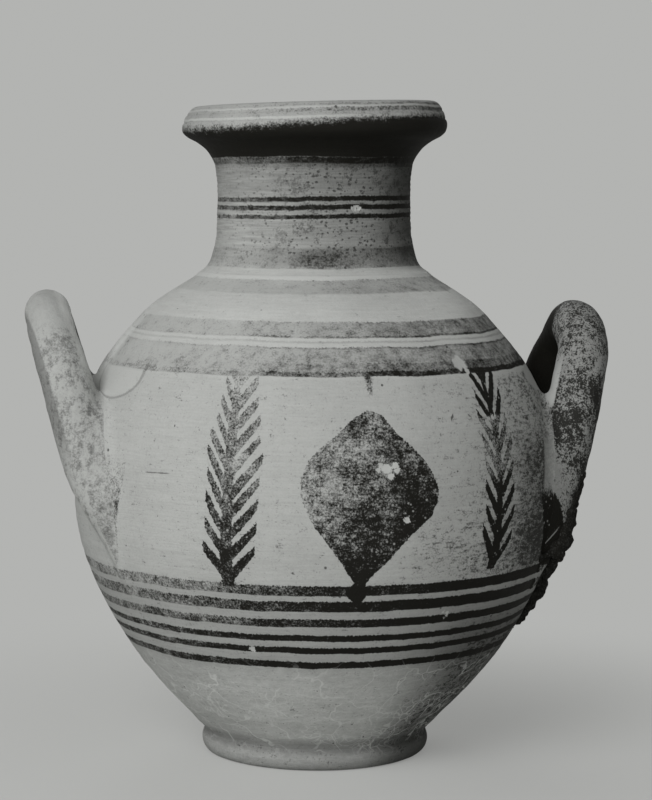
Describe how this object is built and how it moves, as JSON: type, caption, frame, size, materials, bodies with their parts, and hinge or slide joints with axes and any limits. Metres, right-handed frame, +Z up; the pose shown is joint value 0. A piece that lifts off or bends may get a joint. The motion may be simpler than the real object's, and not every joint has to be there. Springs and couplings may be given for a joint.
{
  "type": "painted clay water jar",
  "caption": "Round-bellied clay water jar on a low ring foot, with a broad neck, flaring lip, upright loop handles at the sides, a strap handle behind and painted bands and plant motifs.",
  "frame": {"origin": "centre of the resting ring of the foot, on the surface that the jar stands on", "axes": "+Z up along the jar's axis, -Y towards the painted front, +X towards the right handle as seen from the front"},
  "size_m": [0.4038, 0.3384, 0.452],
  "materials": {
    "fired_clay": "matte, slipped and painted",
    "soil": "rough"
  },
  "bodies": {
    "root": {"foot_ring": "fired_clay", "lower_body": "fired_clay", "upper_body": "fired_clay", "neck": "fired_clay", "lip": "fired_clay", "left_handle": "fired_clay", "right_handle": "fired_clay", "back_handle": "fired_clay", "left_front_wad": "fired_clay", "left_back_wad": "fired_clay", "right_front_wad": "fired_clay", "right_back_wad": "fired_clay", "soil_crust": "soil"}
  },
  "joints": []
}
